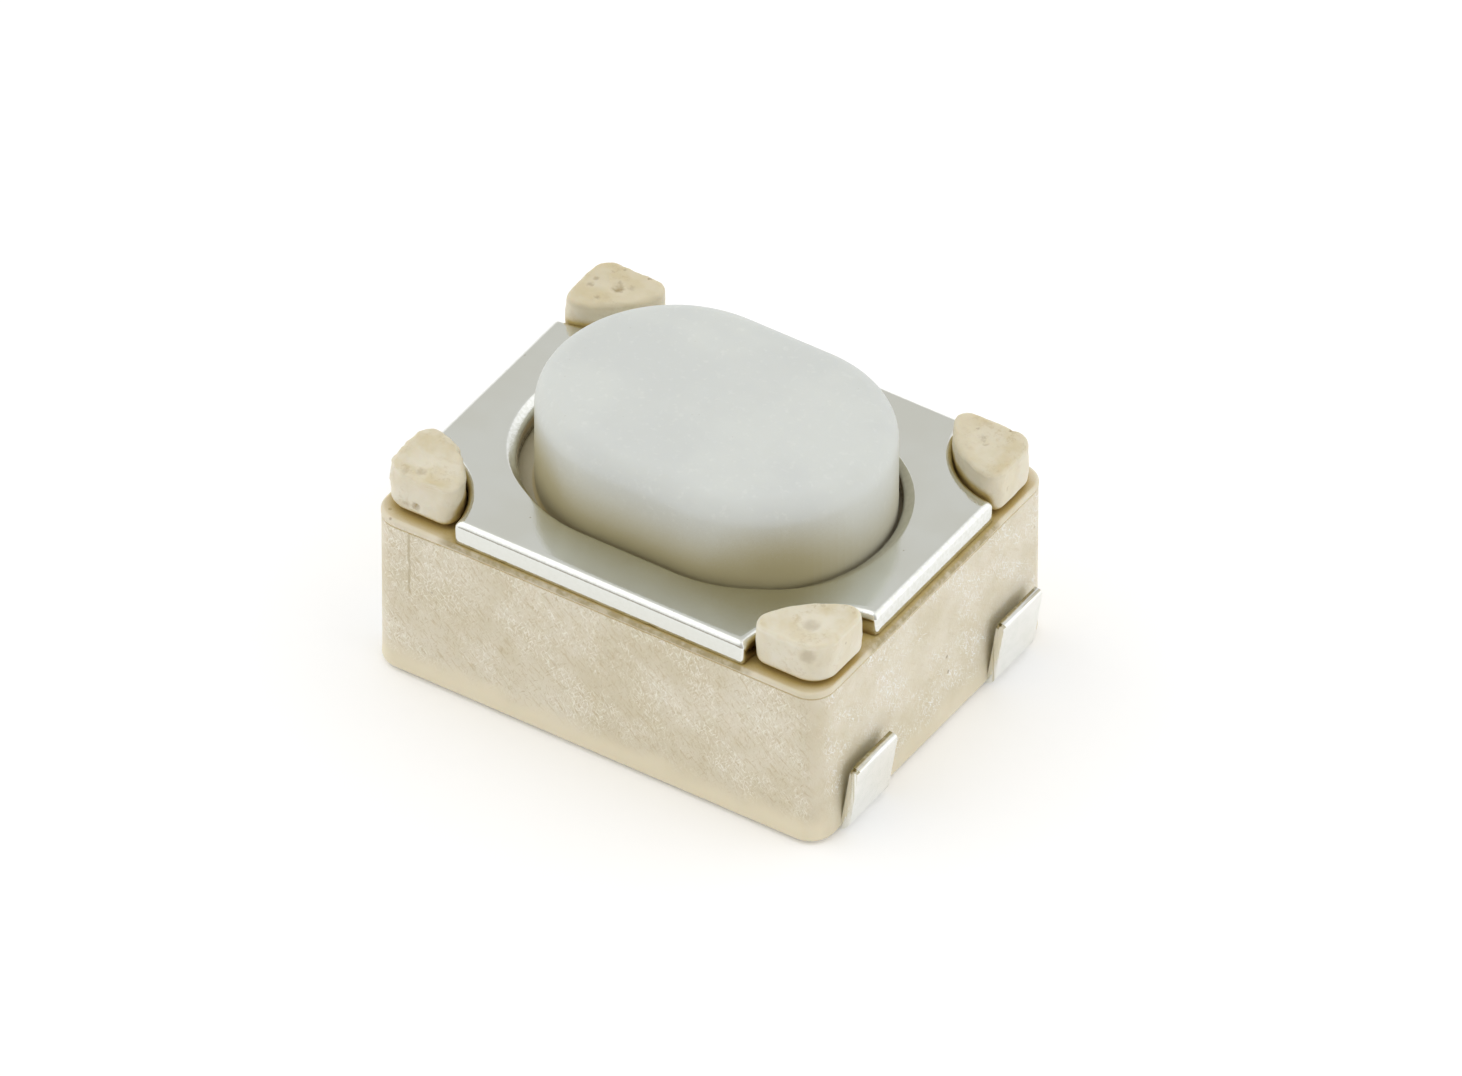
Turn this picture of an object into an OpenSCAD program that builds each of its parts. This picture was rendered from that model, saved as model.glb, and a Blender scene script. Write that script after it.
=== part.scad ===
// Surface-mount tactile push button switch with an oval button and four melted corner posts.
// +X runs along the long side, with two upturned terminals at each X end, and +Z is up.
// The origin is in the middle of the footprint, on the surface of the board.
// All sizes are in millimetres.

/* [Housing] */
// Length of the moulded body, between its two terminal ends
body_l = 4.2; // [4.1:0.05:4.8]
// Width of the moulded body
body_w = 3.3; // [3.2:0.05:3.8]
// Height of the body's top face above the board
body_h = 1.55; // [1.5:0.05:1.9]
// Thickness of the wall round the cavity
wall = 0.3; // [0.26:0.01:0.36]
// Radius of the upright corners
corner_r = 0.22; // [0.14:0.01:0.26]
// Rounding of the edge round the underside
foot_r = 0.08; // [0.04:0.01:0.1]
// Rounding of the edge round the top face
rim_r = 0.05; // [0.02:0.01:0.07]
// Gap between the board and the moulded underside
standoff = 0.02; // [0.01:0.01:0.04]

/* [Corner posts] */
// Rise of a melted post above the body's top face
post_h = 0.42; // [0.36:0.01:0.6]
// Length of a post's two outer sides
post_len = 0.63; // [0.5:0.01:0.66]
// Rounding of a post's two tips, which face the middles of the walls
post_tip_r = 0.095; // [0.07:0.005:0.11]
// Rounding of a post's outer corner
post_corner_r = 0.18; // [0.12:0.01:0.22]
// Rounding of the edge round a post's top
post_top_r = 0.04; // [0.02:0.005:0.045]
// How much narrower a post is at its foot than at its melted head
post_undercut = 0.04; // [0.01:0.005:0.05]
// Step back of a post from the end wall
post_step_end = 0.07; // [0.04:0.01:0.1]
// Step back of a post from the side wall
post_step_side = 0.12; // [0.06:0.01:0.14]

/* [Cover plate] */
// Thickness of the cover plate
cover_t = 0.21; // [0.15:0.01:0.26]
// Step back of the cover from the end walls
cover_step_end = 0.05; // [0.02:0.01:0.08]
// Step back of the cover from the side walls
cover_step_side = 0.03; // [0.01:0.01:0.06]
// Rounding of the cover's punched outer edge
cover_edge_r = 0.06; // [0.02:0.005:0.07]
// Radius of the round notch at each corner of the cover
notch_r = 0.76; // [0.74:0.01:0.8]
// Rolled-over edge of the oval hole
lip_r = 0.09; // [0.04:0.01:0.12]

/* [Push button] */
// Length of the oval button
button_l = 2.93; // [2.7:0.01:3.0]
// Width of the oval button
button_w = 2.17; // [1.9:0.01:2.2]
// Height of the button's top above the board
button_top = 2.5; // [2.2:0.05:3.2]
// Rounding of the edge round the button's top
button_top_r = 0.12; // [0.05:0.01:0.2]
// Clearance to the hole at each end of the button
hole_gap_end = 0.115; // [0.09:0.005:0.13]
// Clearance to the hole along each side of the button
hole_gap_side = 0.055; // [0.04:0.005:0.07]
// Thickness of the flange that keeps the button under the cover
flange_t = 0.3; // [0.2:0.01:0.35]
// Clearance to the cavity at each end of the flange
flange_gap_end = 0.08; // [0.07:0.005:0.1]
// Clearance to the cavity along each side of the flange
flange_gap_side = 0.06; // [0.04:0.005:0.08]
// How far the loose button has settled towards the +X end
button_shift = 0.06; // [0:0.005:0.065]
// Diameter of the nub that presses the dome
nub_d = 1.0; // [0.7:0.05:1.3]

/* [Snap dome and film] */
// Rise of the dome's underside above its rim
dome_rise = 0.27; // [0.22:0.01:0.32]
// Thickness of the spring disc
dome_t = 0.06; // [0.04:0.005:0.07]
// Clearance between the dome's rim and its pocket
dome_gap = 0.05; // [0.03:0.005:0.07]
// Narrowest width of the ledge round the pocket
ledge_w = 0.05; // [0.03:0.01:0.1]
// Thickness of the insulating film over the dome
film_t = 0.05; // [0.03:0.005:0.06]

/* [Contacts] */
// Thickness of the contact sheet
sheet_t = 0.08; // [0.06:0.005:0.1]
// Height of the dome pocket's floor, level with the contact faces
floor_z = 0.34; // [0.32:0.01:0.4]
// Width of a terminal
lane_w = 0.56; // [0.45:0.01:0.6]
// Distance from the side wall to the near edge of a terminal
lane_step = 0.325; // [0.28:0.005:0.36]
// Height of the upturned end of a terminal above the board
tab_h = 0.66; // [0.5:0.01:0.9]
// Lean of an upturned end away from the wall, in degrees
tab_lean = 8.6; // [0:0.1:12]
// Inside radius of every bend in the sheet
bend_r = 0.06; // [0.04:0.005:0.07]
// Width of the tongue that carries the centre contact
tongue_w = 0.6; // [0.4:0.01:0.7]
// Diameter of the centre contact's pad
pad_d = 0.8; // [0.7:0.01:0.9]
// Height of the raised point on the centre contact's pad
point_h = 0.03; // [0.02:0.005:0.05]
// Width of each arm of the outer contact
arm_w = 0.35; // [0.28:0.01:0.4]

/* [Hidden] */
$fn = 64;
beige = [0.84, 0.80, 0.69];
plated = [0.88, 0.89, 0.87];
steel = [0.77, 0.78, 0.76];
pale_grey = [0.85, 0.86, 0.84];
amber = [0.80, 0.52, 0.16];
// Overshoot of a cutting solid past the face that it opens
cut = 0.1;
// Gap left between pieces that meet at rest but move apart
seat_gap = 0.01;
cavity_l = body_l - 2 * wall;
cavity_w = body_w - 2 * wall;
pocket_r = cavity_w / 2 - ledge_w;
dome_r = pocket_r - dome_gap;
dome_sphere_r = (dome_r * dome_r + dome_rise * dome_rise) / (2 * dome_rise);
dome_centre_z = floor_z + dome_rise - dome_sphere_r;
ledge_z = floor_z + dome_t;
film_top_z = floor_z + dome_rise + dome_t + seat_gap / 2 + film_t;
flange_top_z = body_h - seat_gap;
nub_tip_z = film_top_z + seat_gap / 2;
lane_y = body_w / 2 - lane_step - lane_w / 2;
cover_top_z = body_h + cover_t;
// A crank's two bends of this angle take the sheet from the board's level up to the pocket's floor
crank = 45;
pad_z = floor_z - sheet_t;
crank_run = (pad_z - (2 * bend_r + sheet_t) * (1 - cos(crank))) / sin(crank);
crank_reach = (2 * bend_r + sheet_t) * sin(crank) + crank_run * cos(crank);
arm_inner_x = dome_r - arm_w / 2;
bar_half_l = arm_inner_x + arm_w;
arm_end_y = -0.5;
tab_turn = 90 - tab_lean;
tab_run = (tab_h - sheet_t - bend_r + bend_r * cos(tab_turn)) / sin(tab_turn);
wall_bend_x = body_l / 2 - bend_r;
point_d = 0.36;
nub_tip_r = 0.1;

// Corner centres of an upright rectangle with rounded corners, counterclockwise
function corners(length, width, r) = [
    [r - length / 2, r - width / 2],
    [length / 2 - r, r - width / 2],
    [length / 2 - r, width / 2 - r],
    [r - length / 2, width / 2 - r]
];

// End centres of an oval with round ends
function oval_ends(length, width) = [
    [(width - length) / 2, 0],
    [(length - width) / 2, 0]
];

// Direction, in degrees, that the side from a to b faces
function side_facing(a, b) = atan2(b.y - a.y, b.x - a.x) - 90;

// Turn from one facing to the next, from 0 up to 360
function turn_between(from, to) = (to - from + 720) % 360;

// Quarter of a disc, in the corner where X and Y are both positive
module quarter_disc(r) {
    intersection() {
        circle(r);
        square(r);
    }
}

// Half section of an edge: flat to radius r between two heights, with both outer corners rounded
module edge_section(r, low_z, high_z, low_r = 0, high_r = 0) {
    translate([0, low_z + low_r])
        square([r, high_z - low_z - low_r - high_r]);
    if (low_r > 0) {
        translate([0, low_z])
            square([r - low_r, low_r]);
        translate([r - low_r, low_z + low_r])
            mirror([0, 1])
                quarter_disc(low_r);
    }
    if (high_r > 0) {
        translate([0, high_z - high_r])
            square([r - high_r, high_r]);
        translate([r - high_r, high_z - high_r])
            quarter_disc(high_r);
    }
}

// Half section that cuts a hole of radius r down through a sheet, rolling its upper edge over
module punch_section(r, low_z, high_z, roll_r) {
    translate([0, low_z - cut])
        square([r, high_z - low_z + 2 * cut]);
    difference() {
        translate([0, high_z - roll_r])
            square([r + roll_r, roll_r + cut]);
        translate([r + roll_r, high_z - roll_r])
            circle(roll_r);
        translate([r + roll_r / 2, high_z])
            square([roll_r, 2 * cut]);
    }
}

// Carries the half section given as its child round an outline of two or more points
module carry_round(points, low_z, high_z) {
    count = len(points);
    for (i = [0 : count - 1]) {
        a = points[(i + count - 1) % count];
        b = points[i];
        c = points[(i + 1) % count];
        start = side_facing(a, b);
        sweep = turn_between(start, side_facing(b, c));
        translate([b.x, b.y, 0])
            rotate([0, 0, start])
                rotate_extrude(angle = sweep)
                    children();
        translate([c.x, c.y, 0])
            rotate([90, 0, side_facing(b, c)])
                linear_extrude(norm(c - b))
                    children();
    }
    if (count > 2)
        translate([0, 0, low_z])
            linear_extrude(high_z - low_z)
                polygon(points);
}

// Copies its child to the four corners of the switch
module at_corners() {
    for (flip_x = [0, 1], flip_y = [0, 1])
        mirror([flip_x, 0, 0])
            mirror([0, flip_y, 0])
                children();
}

// Copies its child to both X ends of the switch
module at_ends() {
    for (flip = [0, 1])
        mirror([flip, 0, 0])
            children();
}

// Part of a ring between two directions less than 180 degrees apart
module ring_part(inner, outer, from, to) {
    reach = 2 * outer;
    middle = (from + to) / 2;
    intersection() {
        difference() {
            circle(outer);
            circle(inner);
        }
        polygon([
            [0, 0],
            reach * [cos(from), sin(from)],
            reach * [cos(middle), sin(middle)],
            reach * [cos(to), sin(to)]
        ]);
    }
}

// Section of folded sheet: each step is a straight run and the turn that follows it, up or down
module folded_section(steps, i = 0) {
    if (i < len(steps)) {
        run = steps[i][0];
        turn = steps[i][1];
        square([run, sheet_t]);
        if (turn > 0)
            translate([run, sheet_t + bend_r]) {
                ring_part(bend_r, bend_r + sheet_t, -90, turn - 90);
                rotate(turn)
                    translate([0, -sheet_t - bend_r])
                        folded_section(steps, i + 1);
            }
        if (turn < 0)
            translate([run, -bend_r]) {
                ring_part(bend_r, bend_r + sheet_t, 90 + turn, 90);
                rotate(turn)
                    translate([0, bend_r])
                        folded_section(steps, i + 1);
            }
    }
}

// Stands a section drawn in X and Z along the terminal lane at y
module along_lane(y) {
    translate([0, y + lane_w / 2, 0])
        rotate([90, 0, 0])
            linear_extrude(lane_w)
                children();
}

module body_block() {
    carry_round(corners(body_l, body_w, corner_r), standoff, body_h)
        edge_section(corner_r, standoff, body_h, foot_r, rim_r);
}

// Upright barrel at a corner of a post: narrow at its foot, widest below its rounded top
module post_barrel(r) {
    head_z = body_h + post_h / 2;
    rotate_extrude($fn = 32) {
        polygon([
            [0, body_h - cut],
            [r - post_undercut, body_h - cut],
            [r - post_undercut, body_h],
            [r, head_z],
            [0, head_z]
        ]);
        edge_section(r, head_z, body_h + post_h, 0, min(post_top_r, 0.45 * r), $fn = 12);
    }
}

// One corner post, a triangle in plan whose long side faces the button
module post() {
    outer_x = body_l / 2 - post_step_end;
    outer_y = body_w / 2 - post_step_side;
    hull() {
        translate([outer_x - post_corner_r, outer_y - post_corner_r, 0])
            post_barrel(post_corner_r);
        translate([outer_x - post_tip_r, outer_y - post_len + post_tip_r, 0])
            post_barrel(post_tip_r);
        translate([outer_x - post_len + post_tip_r, outer_y - post_tip_r, 0])
            post_barrel(post_tip_r);
    }
}

module cavity() {
    carry_round(oval_ends(cavity_l, cavity_w), ledge_z, body_h)
        edge_section(cavity_w / 2, ledge_z, body_h + cut);
    translate([0, 0, floor_z])
        cylinder(r = pocket_r, h = dome_t + cut);
}

module housing() {
    color(beige)
        difference() {
            union() {
                body_block();
                at_corners()
                    post();
            }
            cavity();
            centre_contact();
            outer_contact();
        }
}

module cover_plate() {
    length = body_l - 2 * cover_step_end;
    width = body_w - 2 * cover_step_side;
    edge_r = cover_edge_r + 0.005;
    hole_l = button_l + 2 * hole_gap_end;
    hole_w = button_w + 2 * hole_gap_side;
    color(steel)
        difference() {
            carry_round(corners(length, width, edge_r), body_h, cover_top_z)
                edge_section(edge_r, body_h, cover_top_z, 0, cover_edge_r);
            carry_round(oval_ends(hole_l, hole_w), body_h, cover_top_z)
                punch_section(hole_w / 2, body_h, cover_top_z, lip_r);
            at_corners()
                translate([length / 2, width / 2, 0])
                    rotate_extrude()
                        punch_section(notch_r, body_h, cover_top_z, cover_edge_r);
        }
}

module push_button() {
    flange_l = cavity_l - 2 * flange_gap_end;
    flange_w = cavity_w - 2 * flange_gap_side;
    flange_low_z = flange_top_z - flange_t;
    flange_edge_r = 0.03;
    color(pale_grey)
        translate([button_shift, 0, 0]) {
            carry_round(oval_ends(button_l, button_w), flange_low_z, button_top)
                edge_section(button_w / 2, flange_low_z, button_top, 0, button_top_r);
            carry_round(oval_ends(flange_l, flange_w), flange_low_z, flange_top_z)
                edge_section(flange_w / 2, flange_low_z, flange_top_z, flange_edge_r, flange_edge_r);
            rotate_extrude()
                edge_section(nub_d / 2, nub_tip_z, flange_low_z + cut, nub_tip_r, 0);
        }
}

// Solid ball of the dome's curve, grown outwards by a step
module dome_ball(grow) {
    translate([0, 0, dome_centre_z])
        sphere(r = dome_sphere_r + grow, $fn = 128);
}

module snap_dome() {
    color(steel)
        intersection() {
            difference() {
                dome_ball(dome_t);
                dome_ball(0);
            }
            translate([0, 0, floor_z])
                cylinder(r = dome_r, h = dome_rise + dome_t + cut);
        }
}

module dust_film() {
    inside = dome_t + seat_gap / 2;
    film_gap = 0.03;
    film_l = cavity_l - 2 * film_gap;
    film_w = cavity_w - 2 * film_gap;
    color(amber)
        difference() {
            union() {
                carry_round(oval_ends(film_l, film_w), ledge_z, ledge_z + film_t)
                    edge_section(film_w / 2, ledge_z, ledge_z + film_t);
                intersection() {
                    dome_ball(inside + film_t);
                    translate([0, 0, ledge_z])
                        cylinder(r = pocket_r, h = dome_rise + cut);
                }
            }
            dome_ball(inside);
        }
}

module centre_contact() {
    tongue_y = lane_w / 2 - lane_y;
    tongue_run = -tongue_y - bend_r - crank_reach;
    color(plated) {
        at_ends()
            along_lane(-lane_y)
                folded_section([[wall_bend_x, tab_turn], [tab_run, 0]]);
        translate([tongue_w / 2, tongue_y - bend_r, 0])
            rotate([90, 0, -90])
                mirror([1, 0])
                    linear_extrude(tongue_w)
                        folded_section([[2 * bend_r, crank], [crank_run, -crank], [tongue_run, 0]]);
        translate([0, 0, pad_z])
            cylinder(d = pad_d, h = sheet_t);
        translate([0, 0, floor_z])
            cylinder(d1 = point_d, d2 = point_d - 4 * point_h, h = point_h);
    }
}

module outer_contact() {
    foot_run = wall_bend_x - bar_half_l - crank_reach;
    steps = [
        [bar_half_l, -crank],
        [crank_run, crank],
        [foot_run, tab_turn],
        [tab_run, 0]
    ];
    color(plated)
        at_ends() {
            translate([0, 0, pad_z])
                along_lane(lane_y)
                    folded_section(steps);
            translate([arm_inner_x, arm_end_y, pad_z])
                cube([arm_w, lane_y - arm_end_y, sheet_t]);
        }
}

housing();
cover_plate();
push_button();
snap_dome();
dust_film();
centre_contact();
outer_contact();
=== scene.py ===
"""Looks of a surface-mount tactile push button switch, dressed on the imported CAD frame.

Shapes are worked out in millimetres in the CAD frame and become metres when an object is made.
"""
import math

import bmesh
import bpy
from mathutils import Matrix, Vector, geometry, noise


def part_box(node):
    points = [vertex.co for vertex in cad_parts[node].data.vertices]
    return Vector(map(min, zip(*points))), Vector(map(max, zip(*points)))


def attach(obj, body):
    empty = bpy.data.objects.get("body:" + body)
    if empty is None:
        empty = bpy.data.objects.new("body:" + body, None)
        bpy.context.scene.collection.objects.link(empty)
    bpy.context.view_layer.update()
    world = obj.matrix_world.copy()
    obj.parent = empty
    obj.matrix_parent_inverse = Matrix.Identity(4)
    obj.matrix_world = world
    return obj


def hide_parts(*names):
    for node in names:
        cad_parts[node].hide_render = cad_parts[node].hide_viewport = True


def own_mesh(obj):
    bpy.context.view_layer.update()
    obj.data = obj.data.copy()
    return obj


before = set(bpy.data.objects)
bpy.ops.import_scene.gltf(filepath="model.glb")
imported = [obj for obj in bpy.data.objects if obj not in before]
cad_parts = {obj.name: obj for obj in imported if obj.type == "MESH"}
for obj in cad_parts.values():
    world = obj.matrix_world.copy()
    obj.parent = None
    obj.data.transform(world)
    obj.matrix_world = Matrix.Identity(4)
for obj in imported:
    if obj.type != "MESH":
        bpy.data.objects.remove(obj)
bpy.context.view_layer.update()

MM = 0.001
PI = math.pi


def mm_box(node):
    """Lowest and highest corner of a CAD node, in millimetres."""
    low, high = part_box(node)
    return low / MM, high / MM


# The outer sizes come from the frame; edge forms and inner sizes are named beside each piece
BODY_LOW, BODY_HIGH = mm_box("housing")
COVER_LOW, COVER_HIGH = mm_box("cover_plate")
BUTTON_LOW, BUTTON_HIGH = mm_box("push_button")
TAB_HIGH = mm_box("outer_contact")[1]
BODY_TOP = COVER_LOW.z


# Mesh helpers

def new_object(name, verts, faces, smooth=40):
    """An object with outward normals, smooth apart from edges sharper than an angle in degrees."""
    mesh = bpy.data.meshes.new(name)
    mesh.from_pydata(verts, [], faces)
    obj = bpy.data.objects.new(name, mesh)
    bpy.context.scene.collection.objects.link(obj)
    work = bmesh.new()
    work.from_mesh(mesh)
    bmesh.ops.remove_doubles(work, verts=work.verts, dist=1e-7)
    bmesh.ops.recalc_face_normals(work, faces=work.faces)
    for face in work.faces:
        face.smooth = True
    for edge in work.edges:
        edge.smooth = len(edge.link_faces) != 2 or edge.calc_face_angle(0) < math.radians(smooth)
    work.to_mesh(mesh)
    work.free()
    return obj


def make_piece(name, skin, material, body, node, smooth=40):
    """A piece from points in millimetres and faces, riding on a body and standing for a CAD node."""
    verts, faces = skin
    obj = new_object(name, [Vector(v) * MM for v in verts], faces, smooth)
    obj.data.materials.append(material)
    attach(obj, body)
    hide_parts(node)
    return obj


def helper_object(name, skin):
    """An object in millimetres that is only worked with, and gone before the end."""
    verts, faces = skin
    return new_object(name, [Vector(v) for v in verts], faces)


def skin_of(obj):
    """Points and faces of a helper object, which is removed."""
    verts = [v.co.copy() for v in obj.data.vertices]
    faces = [tuple(p.vertices) for p in obj.data.polygons]
    bpy.data.objects.remove(obj)
    return verts, faces


def combine(base, tool, operation):
    """Applies one exact boolean to base and removes the tool."""
    modifier = base.modifiers.new(operation, "BOOLEAN")
    modifier.operation = operation
    modifier.object = tool
    modifier.solver = "EXACT"
    bpy.context.view_layer.update()
    result = bpy.data.meshes.new_from_object(base.evaluated_get(bpy.context.evaluated_depsgraph_get()))
    base.modifiers.clear()
    base.data = result
    bpy.data.objects.remove(tool)


def ring_faces(first, second, count):
    """Quads between two rings of count points, given by their first index."""
    return [
        (first + i, first + (i + 1) % count, second + (i + 1) % count, second + i)
        for i in range(count)
    ]


def loft(loops, cap_start=True, cap_end=True):
    """Closed skin over loops with equally many points; each cap closes onto its loop's middle."""
    count = len(loops[0])
    verts = [p for loop in loops for p in loop]
    faces = []
    for k in range(len(loops) - 1):
        faces += ring_faces(k * count, (k + 1) * count, count)
    for wanted, first in ((cap_start, 0), (cap_end, (len(loops) - 1) * count)):
        if wanted:
            middle = sum((Vector(verts[first + i]) for i in range(count)), Vector()) / count
            verts.append(middle)
            faces += [(first + i, first + (i + 1) % count, len(verts) - 1) for i in range(count)]
    return verts, faces


def joined(skins):
    """Several skins as one."""
    verts, faces = [], []
    for more_verts, more_faces in skins:
        start = len(verts)
        verts += more_verts
        faces += [tuple(start + i for i in face) for face in more_faces]
    return verts, faces


# Outlines and edges

def arc(centre, r, start, end, count):
    """Points on an arc, both ends included, with angles in degrees."""
    return [
        (
            centre[0] + r * math.cos(math.radians(start + (end - start) * i / (count - 1))),
            centre[1] + r * math.sin(math.radians(start + (end - start) * i / (count - 1))),
        )
        for i in range(count)
    ]


def side(a, b, count):
    """Points between a and b, both left out."""
    return [
        (a[0] + (b[0] - a[0]) * i / (count + 1), a[1] + (b[1] - a[1]) * i / (count + 1))
        for i in range(1, count + 1)
    ]


def bend(a, corner, b, count):
    """Points on a curve from a to b that turns at a corner, both ends included."""
    points = []
    for i in range(count):
        t = i / (count - 1)
        points.append(tuple(
            (1 - t) ** 2 * a[k] + 2 * t * (1 - t) * corner[k] + t * t * b[k] for k in (0, 1)
        ))
    return points


def joined_arcs(centres, radii, starts, sweeps, arc_counts, side_counts):
    """Outline of arcs round centres joined by straight sides, counterclockwise."""
    outline = []
    count = len(centres)
    for i in range(count):
        outline += arc(centres[i], radii[i], starts[i], starts[i] + sweeps[i], arc_counts[i])
        j = (i + 1) % count
        following = arc(centres[j], radii[j], starts[j], starts[j] + sweeps[j], 2)[0]
        outline += side(outline[-1], following, side_counts[i])
    return outline


def rounded_rectangle(half_x, half_y, r, arc_count=13, across=74, along=56):
    """Outline of a rectangle with round corners, starting at the corner -X -Y."""
    cx, cy = half_x - r, half_y - r
    centres = [(-cx, -cy), (cx, -cy), (cx, cy), (-cx, cy)]
    return joined_arcs(centres, [r] * 4, [180, 270, 0, 90], [90] * 4, [arc_count] * 4, [across, along] * 2)


def oval(half_x, half_y, middle_x=0.0, arc_count=49, sides=14):
    """Outline of an oval with round ends."""
    shift = half_x - half_y
    centres = [(middle_x + shift, 0), (middle_x - shift, 0)]
    return joined_arcs(centres, [half_y] * 2, [-90, 90], [180, 180], [arc_count] * 2, [sides, sides])


def at_height(outline, z):
    """An outline's points with a height."""
    return [(x, y, z) for x, y in outline]


def edge_steps(r, count):
    """Inset and drop of each step round a quarter-circle edge, from the flat face to the side."""
    steps = []
    for i in range(count + 1):
        a = PI / 2 * i / count
        steps.append((r * (1 - math.sin(a)), r * (1 - math.cos(a))))
    return steps


def smoothstep(low, high, value):
    """From 0 at low to 1 at high, with a soft start and end."""
    t = min(max((value - low) / (high - low), 0), 1)
    return t * t * (3 - 2 * t)


def wander(point, size, seed, detail=3):
    """Smooth seeded noise from about -1 to 1 that changes over a size in millimetres."""
    return noise.fractal(Vector(point) / size + Vector((seed, 2.3 * seed, -1.7 * seed)), 1.0, 2.1, detail)


# Materials

def srgb(r, g, b):
    """An 8-bit colour of a picture as a linear colour."""
    def linear(c):
        c = c / 255
        return c / 12.92 if c <= 0.04045 else ((c + 0.055) / 1.055) ** 2.4
    return (linear(r), linear(g), linear(b), 1)


class Nodes:
    """Short names for the shader nodes that the materials use."""

    def __init__(self, tree):
        self.tree = tree
        tree.nodes.clear()

    def add(self, kind, inputs=None, **settings):
        node = self.tree.nodes.new(kind)
        for name, value in settings.items():
            setattr(node, name, value)
        for name, value in (inputs or {}).items():
            self.set(node.inputs[name], value)
        return node

    def set(self, socket, value):
        if isinstance(value, bpy.types.NodeSocket):
            self.tree.links.new(value, socket)
        else:
            socket.default_value = value

    def math(self, operation, a, b=0.0):
        return self.add("ShaderNodeMath", {0: a, 1: b}, operation=operation).outputs[0]

    def chain(self, operation, values):
        """One operation carried through several values."""
        result = values[0]
        for value in values[1:]:
            result = self.math(operation, result, value)
        return result

    def times(self, *values):
        return self.chain("MULTIPLY", values)

    def plus(self, *values):
        return self.chain("ADD", values)

    def largest(self, *values):
        return self.chain("MAXIMUM", values)

    def smallest(self, *values):
        return self.chain("MINIMUM", values)

    def size(self, value):
        """A value without its sign."""
        return self.math("ABSOLUTE", value)

    def rest(self, share):
        """What a share leaves of 1."""
        return self.math("SUBTRACT", 1.0, share)

    def remap(self, value, low, high, to_low=0.0, to_high=1.0):
        """A value from a range to another, smoothly and without leaving it."""
        node = self.add("ShaderNodeMapRange", interpolation_type="SMOOTHSTEP")
        names = ("Value", "From Min", "From Max", "To Min", "To Max")
        for name, given in zip(names, (value, low, high, to_low, to_high)):
            self.set(node.inputs[name], given)
        return node.outputs[0]

    def mix(self, share, a, b):
        """Colour a, and a share of colour b over it."""
        node = self.add("ShaderNodeMix", data_type="RGBA")
        self.set(node.inputs["Factor"], share)
        self.set(node.inputs[6], a)
        self.set(node.inputs[7], b)
        return node.outputs[2]

    def vector(self, x, y, z):
        return self.add("ShaderNodeCombineXYZ", {0: x, 1: y, 2: z}).outputs[0]

    def vector_math(self, operation, a, b, output=0):
        return self.add("ShaderNodeVectorMath", {0: a, 1: b}, operation=operation).outputs[output]

    def scaled(self, vector, scale):
        return self.add("ShaderNodeMapping", {"Vector": vector, "Scale": scale}).outputs[0]

    def noise(self, vector, scale, detail=2.0, roughness=0.5, output=0):
        inputs = {"Vector": vector, "Scale": scale, "Detail": detail, "Roughness": roughness}
        return self.add("ShaderNodeTexNoise", inputs).outputs[output]

    def strokes(self, vector, angle, length, width, detail=2.0):
        """Noise drawn out along an angle in the XY plane of a vector, with a length and a width in mm."""
        inputs = {"Vector": vector, "Rotation": (0, 0, angle), "Scale": (length, width, length)}
        turned = self.add("ShaderNodeMapping", inputs, vector_type="TEXTURE").outputs[0]
        return self.noise(turned, 1.0, detail, 0.55)

    def spots(self, vector, scale):
        """Distance to the nearest of scattered points, in cells."""
        return self.add("ShaderNodeTexVoronoi", {"Vector": vector, "Scale": scale}).outputs["Distance"]

    def shaken(self, vector, scale, amount):
        """A vector pushed a little in every direction, to break up a round edge."""
        centred = self.vector_math("SUBTRACT", self.noise(vector, scale, output="Color"), (0.5, 0.5, 0.5))
        push = self.add("ShaderNodeVectorMath", {0: centred, "Scale": amount}, operation="SCALE").outputs[0]
        return self.vector_math("ADD", vector, push)

    def facing(self):
        """X, Y and Z of a face's true normal, in the object's own axes."""
        true = self.add("ShaderNodeNewGeometry").outputs["True Normal"]
        turned = self.add("ShaderNodeVectorTransform", {0: true}, vector_type="NORMAL", convert_to="OBJECT")
        return self.add("ShaderNodeSeparateXYZ", {0: turned.outputs[0]}).outputs

    def crevice(self, reach_mm):
        """From 0 in the open to 1 deep in a crevice, for walls up to a reach away."""
        node = self.add("ShaderNodeAmbientOcclusion", {"Distance": reach_mm * MM}, samples=8)
        return self.rest(node.outputs["AO"])

    def bump(self, height, distance_mm, strength=1.0, normal=None):
        inputs = {"Height": height, "Distance": distance_mm * MM, "Strength": strength}
        if normal is not None:
            inputs["Normal"] = normal
        return self.add("ShaderNodeBump", inputs).outputs[0]


def new_material(name):
    """A material with its nodes, its coordinates in millimetres, and their X, Y and Z."""
    material = bpy.data.materials.new(name)
    material.use_nodes = True
    n = Nodes(material.node_tree)
    point = n.scaled(n.add("ShaderNodeTexCoord").outputs["Object"], (1 / MM,) * 3)
    xyz = n.add("ShaderNodeSeparateXYZ", {0: point}).outputs
    return material, n, point, xyz


def shade(n, **inputs):
    """Ends a material with one principled shader; spaces in input names are written as underscores."""
    named = {name.replace("_", " "): value for name, value in inputs.items()}
    shader = n.add("ShaderNodeBsdfPrincipled", named)
    n.add("ShaderNodeOutputMaterial", {0: shader.outputs[0]})


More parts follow.
